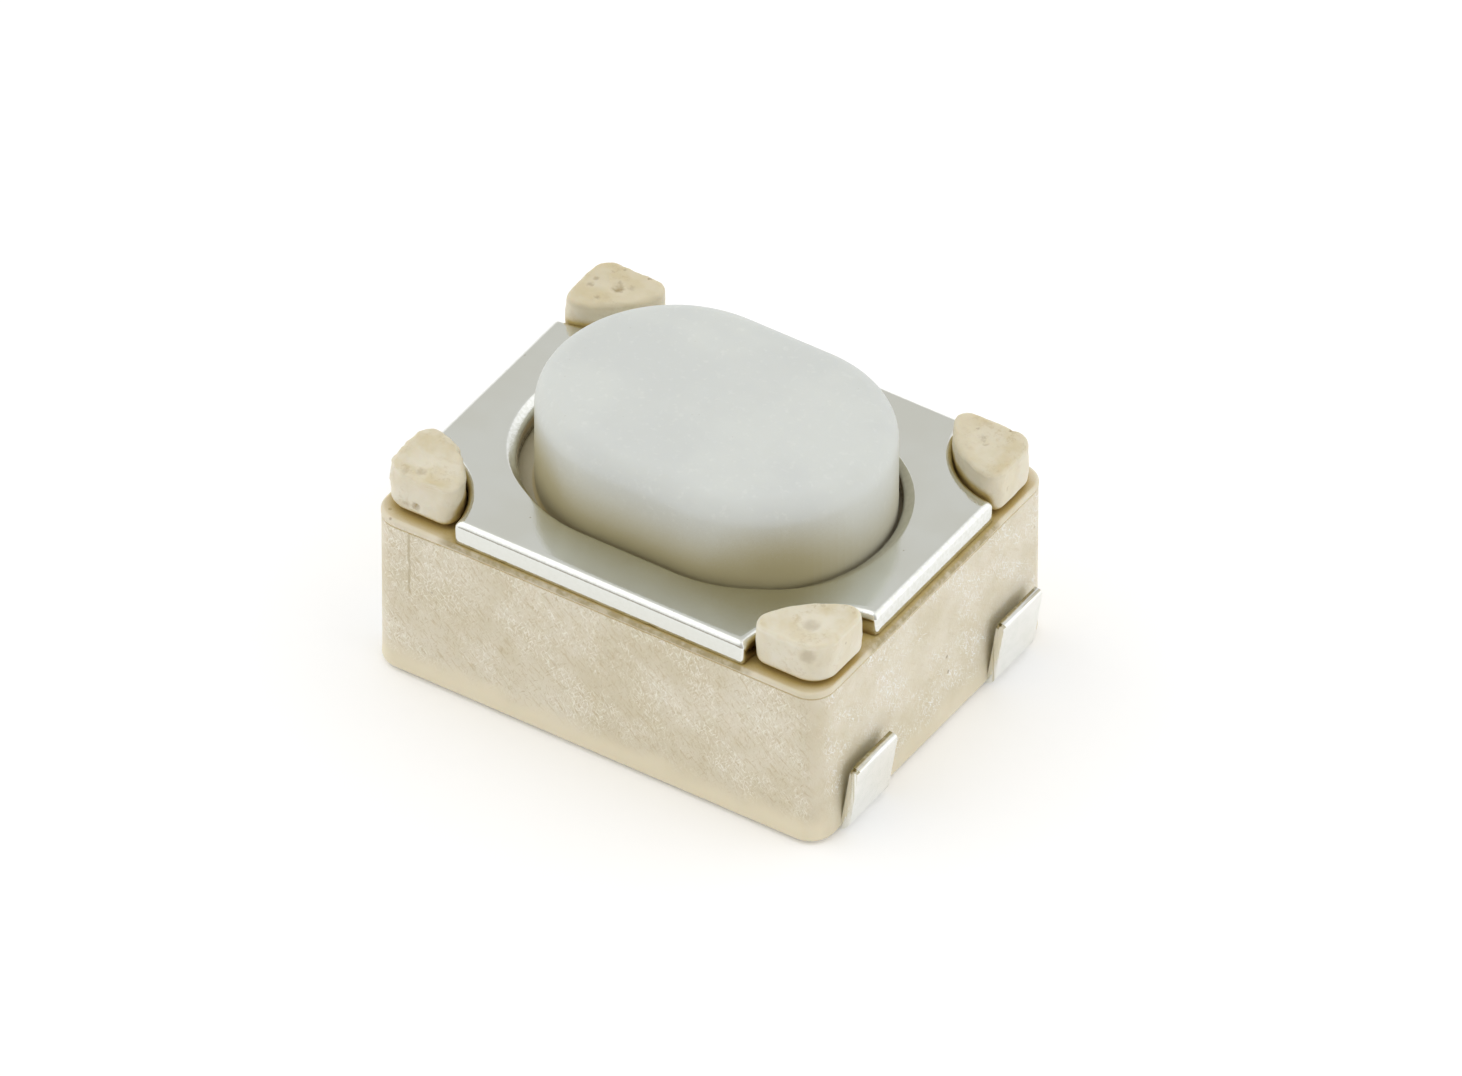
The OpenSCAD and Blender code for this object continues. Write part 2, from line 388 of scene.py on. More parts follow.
# Small pits and burnt marks on the posts: place and size in millimetres, depth, and darkness
PITS = [
    ((1.80, -1.31, 1.96), 0.07, 0.004, 0.4),
    ((1.93, -1.565, 1.86), 0.065, 0.006, 0.35),
    ((2.05, -1.223, 1.64), 0.016, 0.012, 0.6),
    ((-1.731, -1.56, 1.689), 0.03, 0.03, 0.6),
    ((-1.83, -1.56, 1.66), 0.03, 0.025, 0.15),
    ((-1.752, -1.445, 1.955), 0.04, 0.02, 0.4),
    ((-1.865, -1.50, 1.95), 0.03, 0.016, 0.25),
    ((1.836, 1.50, 1.95), 0.022, 0.02, 1.0),
    ((1.678, 1.329, 1.96), 0.026, 0.012, 0.5),
    ((1.71, 1.30, 1.96), 0.026, 0.012, 0.4),
    ((1.735, 1.27, 1.96), 0.028, 0.012, 0.5),
    ((1.60, 1.39, 1.96), 0.014, 0.006, 0.4),
    ((1.95, 1.012, 1.869), 0.016, 0.010, 0.9),
    ((2.065, 1.104, 1.754), 0.018, 0.008, 0.35),
    ((-1.70, 1.27, 1.96), 0.045, 0.02, 0.9),
    ((-1.722, 1.33, 1.96), 0.022, 0.01, 0.45),
    ((-1.607, 1.328, 1.96), 0.03, 0.008, 0.35),
    ((-1.906, 1.19, 1.96), 0.028, 0.012, 0.5),
    ((-1.907, 1.27, 1.96), 0.02, 0.01, 0.45),
    ((-1.776, 1.083, 1.955), 0.022, 0.012, 0.5),
    ((-1.775, 1.486, 1.955), 0.016, 0.01, 0.45),
    ((-1.553, 1.496, 1.95), 0.018, 0.012, 0.9),
    ((-1.841, 1.415, 1.96), 0.014, 0.006, 0.35),
]
FIBRE_LONG = 0.075
FIBRE_WIDE = 0.0145
FIBRE_ANGLES = (0.75, -0.65, 1.35, -1.15)
SCRATCH_X = -1.75


def wall_look(n, point, x, y, z):
    """The walls' colour, with a pale foot that is partly painted light, and the height of their crossed
    fibres, which show in loose patches.
    """
    wall = n.vector(n.plus(x, y), z, 0.0)
    fibres = [n.strokes(wall, angle, FIBRE_LONG, FIBRE_WIDE) for angle in FIBRE_ANGLES]
    light_fibre = n.largest(*fibres)
    dark_fibre = n.smallest(*fibres)
    streak = n.strokes(wall, -0.75, 0.16, 0.035, 3.0)
    patch = n.remap(n.strokes(wall, -0.7, 0.6, 0.3), 0.4, 0.62, 0.12, 1.0)
    upper_left = n.times(n.remap(x, -0.8, -1.4), n.remap(z, 0.6, 1.0), 0.9)
    patch = n.largest(patch, upper_left)
    # The marks fade on the heads, in the band along the foot and towards the upright corners
    on_wall = n.rest(n.remap(z, BODY_TOP - 0.055, BODY_TOP - 0.035))
    above_foot = n.remap(n.plus(z, n.times(n.noise(wall, 2.6), 0.24)), 0.24, 0.48)
    end_wall = n.remap(n.size(x), BODY_HIGH.x - 0.05, BODY_HIGH.x - 0.01)
    long_wall = n.remap(n.size(y), BODY_HIGH.y - 0.05, BODY_HIGH.y - 0.01)
    flat_wall = n.plus(n.times(n.largest(end_wall, long_wall), 0.75), 0.25)
    marked = n.times(on_wall, above_foot, flat_wall)
    # The end walls are smoother, with colder light fibres
    rougher = n.times(marked, n.rest(n.times(end_wall, 0.65)))
    cloud = n.noise(point, 1.4, 3.0, 0.6)
    base = n.mix(n.remap(cloud, 0.36, 0.64), srgb(231, 223, 203), srgb(220, 210, 184))
    base = n.mix(n.times(rougher, n.remap(dark_fibre, 0.4, 0.28, 0.0, 0.6)), base, srgb(196, 179, 140))
    base = n.mix(n.times(rougher, n.remap(streak, 0.44, 0.32, 0.0, 0.6)), base, srgb(204, 188, 152))
    pale = n.mix(end_wall, srgb(250, 246, 233), srgb(250, 250, 246))
    base = n.mix(n.times(marked, patch, n.remap(light_fibre, 0.58, 0.68, 0.0, 0.85)), base, pale)
    # The pale band along the foot is partly the moulding's own smoother band and partly painted light from
    # the floor, weaker on the end walls
    foot = n.times(n.rest(above_foot), n.math("SUBTRACT", 0.8, n.times(end_wall, 0.5)))
    base = n.mix(foot, base, srgb(241, 231, 204))
    grain = n.times(n.noise(point, 40.0, 3.0, 0.65), 0.4)
    height = n.times(n.plus(light_fibre, grain), n.plus(marked, 0.25))
    return base, height


def seam_shade_and_scratch(n, point, x, y, z, base):
    """Painted shade darkens the bead under the cover's edge in a mottled band, and the wall at -Y has a fine
    upright scratch.
    """
    # Painted shade along the bead, under the cover's edge
    under = n.largest(n.remap(n.size(x), 1.5, 1.36), n.remap(n.size(y), 0.96, 0.86))
    mottle = n.remap(n.noise(point, 9.0, 3.0, 0.7), 0.36, 0.6, 0.5, 1.0)
    seam_shade = n.times(under, n.remap(z, BODY_TOP - 0.055, BODY_TOP - 0.025), mottle, 0.85)
    base = n.mix(seam_shade, base, srgb(158, 142, 98))
    off = n.size(n.plus(x, -SCRATCH_X, n.times(n.noise(point, 6.0), -0.03)))
    upright = n.times(n.remap(z, 0.8, 0.9), n.remap(z, 1.5, 1.44), n.remap(y, -1.55, -1.6))
    return n.mix(n.times(n.remap(off, 0.017, 0.006), upright, 0.55), base, srgb(186, 170, 130))


def head_colour(n, point, x, y, z):
    """The melted heads: waxy and blotched, with a painted highlight on their rims, painted light on their
    steep sides, painted shade on their flanks below the rims, and aged tops.
    """
    top = BODY_HIGH.z
    cloud = n.noise(point, 3.0, 3.0, 0.6)
    base = n.mix(n.remap(cloud, 0.4, 0.62), srgb(225, 218, 197), srgb(216, 204, 171))
    blots = n.remap(n.noise(point, 17.0, 4.0, 0.75), 0.5, 0.62)
    blots = n.times(blots, n.remap(n.noise(point, 4.0), 0.42, 0.56), 0.6)
    base = n.mix(blots, base, srgb(196, 180, 143))
    # Painted shade on the flanks below the rims
    flank_shade = n.times(n.remap(z, top - 0.3, top - 0.12), n.remap(z, top - 0.035, top - 0.075), 0.25)
    base = n.mix(flank_shade, base, srgb(213, 197, 158))
    # Painted highlight along the rims
    rim = n.times(n.remap(z, top - 0.06, top - 0.03), n.remap(z, top - 0.004, top - 0.016), 0.5)
    base = n.mix(rim, base, srgb(236, 230, 212))
    # Painted light on the steeper sides, by which way they face
    base = n.mix(n.times(n.remap(n.facing()[2], 0.7, 0.3), 0.42), base, srgb(244, 240, 226))
    aged = n.plus(n.remap(y, 0.0, 0.8, 0.0, 0.28), n.remap(x, 0.0, -0.8, 0.0, 0.16))
    return n.mix(n.times(aged, n.remap(z, top - 0.08, top - 0.03)), base, srgb(200, 186, 148))


def pitted(n, point, base):
    """Brown pits with uneven edges, and scattered freckles."""
    uneven = n.shaken(point, 28.0, 0.05)
    for place, size, _, darkness in PITS:
        away = n.vector_math("DISTANCE", uneven, place, "Value")
        base = n.mix(n.remap(away, 1.5 * size, 0.4 * size, 0.0, 0.85 * darkness), base, srgb(146, 124, 82))
    freckles = n.times(n.remap(n.spots(point, 3.6), 0.075, 0.04), n.remap(n.noise(point, 2.2, 1.0), 0.5, 0.6))
    return n.mix(n.times(freckles, 0.55), base, srgb(146, 122, 82))


def painted_golden_shade(n, z, base):
    """Painted golden shade in crevices, found by ambient occlusion: wide on the body's top, narrow on the
    heads, and paler behind the terminals.
    """
    above = n.mix(n.remap(z, BODY_TOP + 0.08, BODY_TOP + 0.14), n.crevice(0.3), n.crevice(0.1))
    upper = n.remap(z, BODY_TOP - 0.3, BODY_TOP - 0.2)
    deep = n.mix(upper, n.times(n.crevice(0.12), n.remap(z, 0.1, 0.25)), above)
    shade_tint = n.mix(upper, srgb(200, 189, 152), srgb(196, 172, 102))
    strength = n.plus(n.times(upper, 0.35), 0.6)
    base = n.mix(n.times(n.remap(deep, 0.16, 0.5), strength), base, shade_tint)
    # A darker painted shade deep under the heads
    deep_shade_core = n.times(n.remap(deep, 0.55, 0.85), upper, 0.6)
    return n.mix(deep_shade_core, base, srgb(146, 114, 58))


def moulding_material():
    """Beige moulded resin, with its walls, melted heads and pits, and painted light and shade: golden shade
    in its depths, a pale foot, and highlights and shade on the heads.
    """
    material, n, point, (x, y, z) = new_material("beige_moulding")
    base, height = wall_look(n, point, x, y, z)
    base = seam_shade_and_scratch(n, point, x, y, z, base)
    base = n.mix(n.remap(z, BODY_TOP, BODY_TOP + 0.08), base, head_colour(n, point, x, y, z))
    base = pitted(n, point, base)
    base = painted_golden_shade(n, z, base)
    normal = n.bump(height, 0.006, 0.7)
    normal = n.bump(n.noise(point, 7.0, 3.0), 0.016, 0.5, normal)
    shade(n, Base_Color=base, Roughness=0.52, Normal=normal, Specular_IOR_Level=0.4,
          Subsurface_Weight=0.2, Subsurface_Radius=(1.0, 0.7, 0.38), Subsurface_Scale=0.1 * MM)
    return material


def cover_material():
    """Smooth satin sheet steel with bright sheared edges, faint scuffs and small specks, and painted shade on
    its sides towards -Y and in crevices.
    """
    material, n, point, _ = new_material("cover_steel")
    cloud = n.noise(point, 1.6)
    satin = n.mix(n.remap(cloud, 0.35, 0.65), srgb(224, 225, 217), srgb(220, 220, 210))
    sides = n.mix(n.remap(n.noise(point, 24.0, 3.0), 0.4, 0.6), srgb(238, 239, 235), srgb(231, 232, 226))
    facing = n.facing()
    # Painted shade on the sides facing -Y
    front_shade = n.remap(n.times(facing[1], -1.0), 0.7, 0.95)
    sides = n.mix(n.times(front_shade, 0.75), sides, srgb(222, 223, 216))
    # Painted golden shade on the sides deep in crevices
    hidden_shade = n.times(n.remap(n.crevice(0.25), 0.35, 0.75), n.remap(facing[2], 0.5, 0.2))
    sides = n.mix(n.times(hidden_shade, 0.85), sides, srgb(150, 124, 70))
    base = n.mix(n.remap(facing[2], 0.9, 0.99), sides, satin)
    specks = n.times(n.remap(n.spots(point, 6.0), 0.055, 0.03), n.remap(n.noise(point, 3.0, 1.0), 0.5, 0.58))
    base = n.mix(n.times(specks, 0.55), base, srgb(160, 150, 122))
    scuffs = n.largest(n.strokes(point, 0.5, 0.14, 0.008), n.strokes(point, -0.35, 0.12, 0.008))
    rough = n.plus(n.remap(cloud, 0.35, 0.65, 0.07, 0.1), n.remap(scuffs, 0.68, 0.78, 0.0, 0.16))
    normal = n.bump(n.noise(point, 90.0), 0.0009, 0.5)
    normal = n.bump(n.noise(point, 2.4), 0.005, 0.3, normal)
    shade(n, Base_Color=base, Metallic=1.0, Roughness=rough, Normal=normal)
    return material


def button_material():
    """Pale cool grey resin with a soft matte skin, and painted shade that turns it warmer and darker towards
    the gap at its foot.
    """
    material, n, point, (x, y, z) = new_material("button_resin")
    cloud = n.noise(point, 1.1, 3.0, 0.55)
    mottle = n.noise(point, 16.0, 3.0, 0.6)
    base = n.mix(n.remap(cloud, 0.38, 0.62), srgb(210, 213, 209), srgb(215, 218, 213))
    base = n.mix(n.remap(mottle, 0.54, 0.74, 0.0, 0.3), base, srgb(229, 231, 226))
    # Painted shade from the gap at the foot, strongest on the side towards -Y
    foot_shade = n.times(n.remap(n.crevice(0.8), 0.0, 0.46), n.remap(n.facing()[1], 0.1, -0.9, 0.6, 1.12))
    shade_tint = n.mix(n.remap(z, BODY_TOP + 0.01, BODY_TOP + 0.05), srgb(210, 194, 142), srgb(180, 171, 134))
    base = n.mix(foot_shade, base, shade_tint)
    specks = n.remap(n.spots(point, 6.0), 0.045, 0.02)
    base = n.mix(n.times(specks, 0.3), base, srgb(170, 165, 150))
    height = n.plus(n.times(mottle, 0.5), n.times(n.noise(point, 80.0), 0.5))
    shade(n, Base_Color=base, Roughness=0.58, Normal=n.bump(height, 0.003, 0.5), Specular_IOR_Level=0.4,
          Subsurface_Weight=0.2, Subsurface_Radius=(1.0, 0.9, 0.7), Subsurface_Scale=0.12 * MM)
    return material


def contact_material():
    """Silver-plated sheet: bright faces, banded sheared sides, torn top edges and small scratches."""
    material, n, point, (x, y, z) = new_material("plated_contact")
    mottle = n.noise(point, 9.0, 4.0, 0.65)
    bands = n.noise(n.scaled(point, (40, 2, 1)), 1.0, 2.0, 0.6)
    base = n.mix(n.remap(mottle, 0.4, 0.62), srgb(243, 243, 239), srgb(238, 239, 234))
    ends = n.remap(n.size(x), BODY_HIGH.x + 0.015, BODY_HIGH.x + 0.03)
    edgewise = n.remap(n.size(n.facing()[0]), 0.9, 0.6)
    sheared = n.times(ends, edgewise, n.remap(bands, 0.44, 0.58, 0.0, 0.55))
    base = n.mix(sheared, base, srgb(178, 168, 130))
    # The torn inner half of each end's top edge is dull
    on_top = n.remap(z, TAB_HIGH.z - 0.05, TAB_HIGH.z - 0.03)
    inner_half = n.remap(n.size(x), TAB_HIGH.x - 0.045, TAB_HIGH.x - 0.06)
    torn = n.times(on_top, inner_half, n.remap(n.noise(point, 22.0), 0.36, 0.5, 0.6, 1.0))
    base = n.mix(n.times(torn, 0.9), base, srgb(150, 138, 94))
    scratches = n.strokes(n.vector(y, z, x), 0.6, 0.12, 0.01)
    base = n.mix(n.remap(scratches, 0.72, 0.8, 0.0, 0.4), base, srgb(160, 162, 160))
    normal = n.bump(n.plus(mottle, bands), 0.003, 0.6)
    shade(n, Base_Color=base, Metallic=1.0, Roughness=n.remap(mottle, 0.3, 0.7, 0.13, 0.2), Normal=normal)
    return material


def dome_material():
    """Bright spring steel with fine turned rings."""
    material, n, point, (x, y, z) = new_material("spring_steel")
    far = n.math("SQRT", n.plus(n.times(x, x), n.times(y, y)))
    rings = n.math("SINE", n.times(far, 160.0))
    cloud = n.noise(point, 4.0, 3.0)
    base = n.mix(n.remap(cloud, 0.35, 0.65), srgb(214, 213, 207), srgb(198, 197, 190))
    normal = n.bump(n.plus(rings, n.noise(point, 40.0)), 0.0012, 0.5)
    shade(n, Base_Color=base, Metallic=1.0, Roughness=0.22, Normal=normal)
    return material


def film_material():
    """Amber polyimide film, glossy and slightly cloudy."""
    material, n, point, _ = new_material("amber_film")
    cloud = n.noise(point, 2.5, 3.0)
    base = n.mix(n.remap(cloud, 0.35, 0.65), srgb(214, 150, 60), srgb(196, 128, 44))
    normal = n.bump(n.noise(point, 5.0, 3.0), 0.01, 0.4)
    shade(n, Base_Color=base, Roughness=0.18, Normal=normal, Transmission_Weight=0.35, IOR=1.6)
    return material


# The moulding

FOOT_R = 0.05
RIM_R = 0.03
CORNER_R = 0.22
WALL = 0.3
LEDGE_Z = 0.4
POCKET_Z = 0.34
POCKET_R = 1.3
WALL_INSET = 0.004
WALL_SWAY = 0.004
WALL_ROWS = 26
WALL_TOP_DROP = 0.13
# A fine groove parts the wall from the smooth bead along its top edge: drop and inset of each line
GROOVE = [(0.064, 0.004), (0.057, 0.011), (0.05, 0.011), (0.044, 0.001), (0.038, 0.0)]
GROOVE_FALL = 0.02


def body_outline(inset):
    """The moulding's outer line moved inwards."""
    return rounded_rectangle(BODY_HIGH.x - inset, BODY_HIGH.y - inset, CORNER_R - inset)


def groove_line(drop, inset):
    """One line of the groove, which falls a little towards the corner at -X -Y."""
    line = []
    for px, py in body_outline(inset):
        fall = smoothstep(-1.15, -1.9, px) * smoothstep(-1.0, -1.6, py)
        line.append((px, py, BODY_TOP - drop - GROOVE_FALL * fall))
    return line


def wall_loops():
    """Lines round the moulding, from the middle of its foot out to the wall and up to the rim."""
    loops = []
    for share in (0.25, 0.5, 0.75, 0.92):
        loops.append([(px * share, py * share, BODY_LOW.z) for px, py in body_outline(FOOT_R)])
    for inset, drop in edge_steps(FOOT_R, 6):
        loops.append(at_height(body_outline(inset), BODY_LOW.z + drop))
    low, high = BODY_LOW.z + FOOT_R, BODY_TOP - WALL_TOP_DROP
    for k in range(1, WALL_ROWS):
        loops.append(at_height(body_outline(WALL_INSET), low + (high - low) * k / WALL_ROWS))
    loops += [groove_line(drop, inset) for drop, inset in GROOVE]
    for inset, drop in reversed(edge_steps(RIM_R, 5)):
        loops.append(at_height(body_outline(inset), BODY_TOP - drop))
    return loops


def ray_to_oval(angle, half_long, half_wide):
    """Where a ray from the middle at an angle meets an oval with round ends."""
    dx, dy = math.cos(angle), math.sin(angle)
    shift = half_long - half_wide
    if abs(dy) > 1e-9:
        flat_x = dx / abs(dy) * half_wide
        if abs(flat_x) <= shift:
            return (flat_x, math.copysign(half_wide, dy))
    centre = math.copysign(shift, dx)
    along = dx * centre
    reach = along + math.sqrt(max(along * along - centre * centre + half_wide * half_wide, 0))
    return (dx * reach, dy * reach)


def cavity_loops():
    """Lines from the rim in over the top, down the oval cavity and onto the floor of the dome's pocket."""
    rim = body_outline(RIM_R)
    angles = [math.atan2(py, px) for px, py in rim]
    mouth = [ray_to_oval(angle, BODY_HIGH.x - WALL, BODY_HIGH.y - WALL) for angle in angles]
    pocket = [ray_to_oval(angle, POCKET_R, POCKET_R) for angle in angles]
    loops = []
    for share in (0.4, 0.8, 1.0):
        loops.append([
            (a[0] + (b[0] - a[0]) * share, a[1] + (b[1] - a[1]) * share, BODY_TOP)
            for a, b in zip(rim, mouth)
        ])
    loops += [at_height(mouth, z) for z in (BODY_TOP - 0.3, LEDGE_Z + 0.3, LEDGE_Z)]
    loops += [at_height(pocket, z) for z in (LEDGE_Z, POCKET_Z)]
    loops.append([(px * 0.5, py * 0.5, POCKET_Z) for px, py in pocket])
    return loops


def swayed(point):
    """A point moved inwards with the slight waves in the walls of a shrunk moulding."""
    px, py, pz = point
    on_end = abs(px) / BODY_HIGH.x > 0.985
    on_side = abs(py) / BODY_HIGH.y > 0.985
    if (on_end or on_side) and BODY_LOW.z + FOOT_R < pz < BODY_TOP - RIM_R:
        sway = WALL_SWAY * wander(point, 0.7, 4.0)
        px -= math.copysign(sway, px) if on_end else 0
        py -= math.copysign(sway, py) if on_side else 0
    return (px, py, pz)


def body_skin():
    """The moulding without its posts, as one skin from the middle of its foot to the pocket's floor."""
    verts, faces = loft(wall_loops() + cavity_loops())
    return [swayed(point) for point in verts], faces


POST_RIM_R = 0.045
POST_UNDERCUT = 0.075
POST_ROOT = 0.12
POST_NECK = 0.03
POST_FLARE = 0.075
POST_BELLY = 0.004
# Each post slumped in its own way. Places are given as for the corner +X +Y, in millimetres:
# steps in from the body's faces, centre and radius of the inner side, and place and depth of the dent on top
POSTS = [
    {"side": (1, -1), "step": (0.02, 0.075), "tip_r": 0.13, "corner_r": 0.24, "inner": (2.30, 1.85, 1.0),
     "seed": 11.0, "uneven": 0.7, "dent": (0.02, 0.0, 0.026), "lean": -0.02},
    {"side": (-1, -1), "step": (0.045, 0.09), "tip_r": 0.13, "corner_r": 0.20, "inner": (1.996, 1.524, 0.60),
     "seed": 23.0, "uneven": 1.5, "dent": (0.05, 0.04, 0.02), "lean": 0.01},
    {"side": (1, 1), "step": (0.035, 0.105), "tip_r": 0.10, "corner_r": 0.20, "inner": (2.04, 1.677, 0.73),
     "seed": 37.0, "uneven": 1.0, "dent": (-0.06, 0.02, 0.02), "lean": 0.03},
    {"side": (-1, 1), "step": (0.075, 0.11), "tip_r": 0.12, "corner_r": 0.18, "inner": (2.12, 1.70, 0.81),
     "seed": 41.0, "uneven": 1.0, "dent": (0.0, 0.02, 0.018), "lean": 0.02},
]


def post_profile(rise):
    """Height above the body's top, and growth of the outline, of each ring of a melted post."""
    rings = [(height, -POST_UNDERCUT) for height in (-POST_ROOT, 0.0, POST_NECK)]
    steps = 6
    for i in range(1, steps + 1):
        a = PI / 2 * i / steps
        rings.append((POST_NECK + POST_FLARE * (1 - math.cos(a)), -POST_UNDERCUT * (1 - math.sin(a))))
    straight = 9
    start = rings[-1][0]
    for i in range(1, straight):
        share = i / straight
        rings.append((start + (rise - POST_RIM_R - start) * share, POST_BELLY * math.sin(PI * share)))
    for inset, drop in reversed(edge_steps(POST_RIM_R, 6)):
        rings.append((rise - drop, -inset))
    return rings


def post_outline(post, growth):
    """A post's outline grown outwards: two flat outer sides, and a round inner side towards the button."""
    outer = Vector((BODY_HIGH.x - post["step"][0], BODY_HIGH.y - post["step"][1]))
    centre, reach = Vector(post["inner"][:2]), post["inner"][2]
    tip, corner = post["tip_r"], post["corner_r"]
    ax = outer.x - tip
    a = Vector((ax, centre.y - math.sqrt((reach - tip) ** 2 - (ax - centre.x) ** 2)))
    cy = outer.y - tip
    c = Vector((centre.x - math.sqrt((reach - tip) ** 2 - (cy - centre.y) ** 2), cy))
    b = outer - Vector((corner, corner))
    start = math.degrees(math.atan2(a.y - centre.y, a.x - centre.x))
    end = math.degrees(math.atan2(c.y - centre.y, c.x - centre.x)) % 360
    radii = [tip + growth, corner + growth, tip + growth, reach + growth]
    starts = [start, 0, 90, end]
    sweeps = [-start, 90, end - 90, start + 360 - end]
    return joined_arcs([a, b, c, centre], radii, starts, sweeps, [15, 19, 15, 37], [15, 15, 0, 0])


def post_loops(post):
    """Rings of a post, as for the corner +X +Y: up its side and in over its top. Also its top's middle."""
    top = BODY_HIGH.z
    loops = []
    for height, growth in post_profile(top - BODY_TOP):
        loops.append(at_height(post_outline(post, growth), BODY_TOP + height))
    rim = [Vector(p) for p in loops[-1]]
    middle = sum(rim, Vector()) / len(rim)
    rings_in = 14
    for i in range(1, rings_in):
        share = 1 - i / rings_in
        loops.append([
            (middle.x + (p.x - middle.x) * share, middle.y + (p.y - middle.y) * share, top) for p in rim
        ])
    return loops, middle


def slumped(p, post, middle):
    """A point of a post as the melting left it: a swollen, wrinkled side and a dented, tilted top.

    Each wander makes waves of one size, and the number before it is their height, both in millimetres.
    """
    seed, uneven = post["seed"], post["uneven"]
    dent_x, dent_y, dent = post["dent"]
    top = BODY_HIGH.z
    head = smoothstep(BODY_TOP + 0.03, BODY_TOP + 0.12, p.z)
    out = Vector((p.x - middle.x, p.y - middle.y, 0))
    far = out.length
    if far > 1e-6:
        out /= far
    swell = 0.010 * wander(p, 0.24, seed) + 0.005 * wander(p, 0.08, seed + 5)
    wrinkle = 0.008 * wander((p.x * 0.4, p.y * 0.4, p.z), 0.05, seed + 2)
    p += out * (uneven * (swell + wrinkle * (uneven - 0.5)) - 0.006) * head * smoothstep(0, 0.15, far)
    crown = smoothstep(top - 0.07, top - 0.005, p.z)
    sink = dent * math.exp(-((p.x - middle.x - dent_x) ** 2 + (p.y - middle.y - dent_y) ** 2) / 0.008)
    roll = 0.008 * wander(p, 0.2, seed + 9) + 0.003 * wander(p, 0.06, seed + 3)
    tilt = post["lean"] * ((p.x - middle.x) + (p.y - middle.y))
    p.z = min(p.z + crown * (uneven * roll - sink + tilt - 0.007), top)
    return p


def post_skin(post):
    """One melted post in its own corner, slumped and pitted in its own way."""
    sign_x, sign_y = post["side"]
    loops, middle = post_loops(post)
    verts, faces = loft(loops)
    heart = Vector((middle.x * sign_x, middle.y * sign_y, BODY_TOP + 0.2))
    near = [pit for pit in PITS if (Vector(pit[0]) - heart).length < 0.5]
    shaped = []
    for point in verts:
        p = slumped(Vector(point), post, middle)
        p = Vector((p.x * sign_x, p.y * sign_y, p.z))
        for place, size, depth, _ in near:
            bite = depth * math.exp(-((p - Vector(place)).length / size) ** 2)
            p += (heart - p).normalized() * bite
        shaped.append(p)
    return shaped, faces


def housing_piece(material):
    """The moulding with its four melted posts as one closed skin."""
    work = helper_object("work_housing", body_skin())
    for post in POSTS:
        combine(work, helper_object("work_post", post_skin(post)), "UNION")
    make_piece("moulded_housing", skin_of(work), material, "base", "housing")


# The cover

# How far each corner's notch reaches along the long and the short edge
NOTCHES = {
    (1, -1): (0.68, 0.86),
    (1, 1): (0.705, 0.70),
    (-1, 1): (0.705, 0.705),
    (-1, -1): (0.715, 0.705),
}
NOTCH_SOFT = 0.04
NOTCH_SOFT_LEAST = 0.014
COVER_EDGE_R = 0.065
LIP_WIDE = 0.115
LIP_NARROW = 0.045
LIP_DEEP = 0.1
HOLE_HALF = (1.58, 1.14)
FACE_MARGIN = 0.02
NICK_SIZE = 0.19
NICK_DEPTH = 0.05
NICK_DEPTH_WORN = 0.03


def notched_quarter(sign_x, sign_y, inset):
    """The cover's line from the middle of a long edge, round one notch, to the middle of a short edge."""
    half_x, half_y = COVER_HIGH.x, COVER_HIGH.y
    long_r, short_r = (reach + inset for reach in NOTCHES[(sign_x, sign_y)])
    # The notch's two corners are softened, less so on the inner lines
    soften = max(NOTCH_SOFT - 0.3 * inset, NOTCH_SOFT_LEAST)
    # The curve begins and ends where it meets the edges
    first = math.asin(inset / short_r)
    last = PI / 2 - math.asin(inset / long_r)
    step = 2 * soften / (long_r + short_r)
    swing = []
    for i in range(36):
        turn = first + step + (last - first - 2 * step) * i / 35
        swing.append((half_x - long_r * math.cos(turn), half_y - short_r * math.sin(turn)))
    points = []
    corner = (half_x - long_r * math.cos(first), half_y - inset)
    points += side((0, corner[1]), (corner[0] - soften, corner[1]), 36)
    points += bend((corner[0] - soften, corner[1]), corner, swing[0], 5)
    points += swing[1:-1]
    corner = (half_x - inset, half_y - short_r * math.sin(last))
    points += bend(swing[-1], corner, (corner[0], corner[1] - soften), 5)
    points += side((corner[0], corner[1] - soften), (corner[0], 0), 20)
    return [(sign_x * px, sign_y * py) for px, py in points]


def cover_outline(inset):
    """The cover's outer line moved inwards: straight edges between four round corner notches."""
    line = notched_quarter(1, -1, inset)
    line += list(reversed(notched_quarter(1, 1, inset)))
    line += notched_quarter(-1, 1, inset)
    line += list(reversed(notched_quarter(-1, -1, inset)))
    kept = []
    for point in line:
        if not kept or math.dist(point, kept[-1]) > 1e-6:
            kept.append(point)
    return kept[:-1] if math.dist(kept[0], kept[-1]) < 1e-6 else kept


def inside(point, outline):
    """Whether a point lies inside a closed outline."""
    found = False
    for (ax, ay), (bx, by) in zip(outline, outline[1:] + outline[:1]):
        if (ay > point[1]) != (by > point[1]):
            if point[0] < ax + (point[1] - ay) / (by - ay) * (bx - ax):
                found = not found
    return found


def flat_between(outer, inner, z, upwards):
    """Flat triangles between two lines of points at one height."""
    outer = [p[:2] for p in outer]
    inner = [p[:2] for p in inner]
    points = [Vector(p) for p in outer + inner]
    count = len(outer)
    edges = [(i, (i + 1) % count) for i in range(count)]
    edges += [(count + i, count + (i + 1) % len(inner)) for i in range(len(inner))]
    flat_points, _, triangles, *_ = geometry.delaunay_2d_cdt(points, edges, [], 0, 1e-6)
    faces = []
    for face in triangles:
        middle = sum((flat_points[i] for i in face), Vector((0, 0))) / len(face)
        if inside(middle, outer) and not inside(middle, inner):
            faces.append(tuple(face) if upwards else tuple(reversed(face)))
    return [(p.x, p.y, z) for p in flat_points], faces


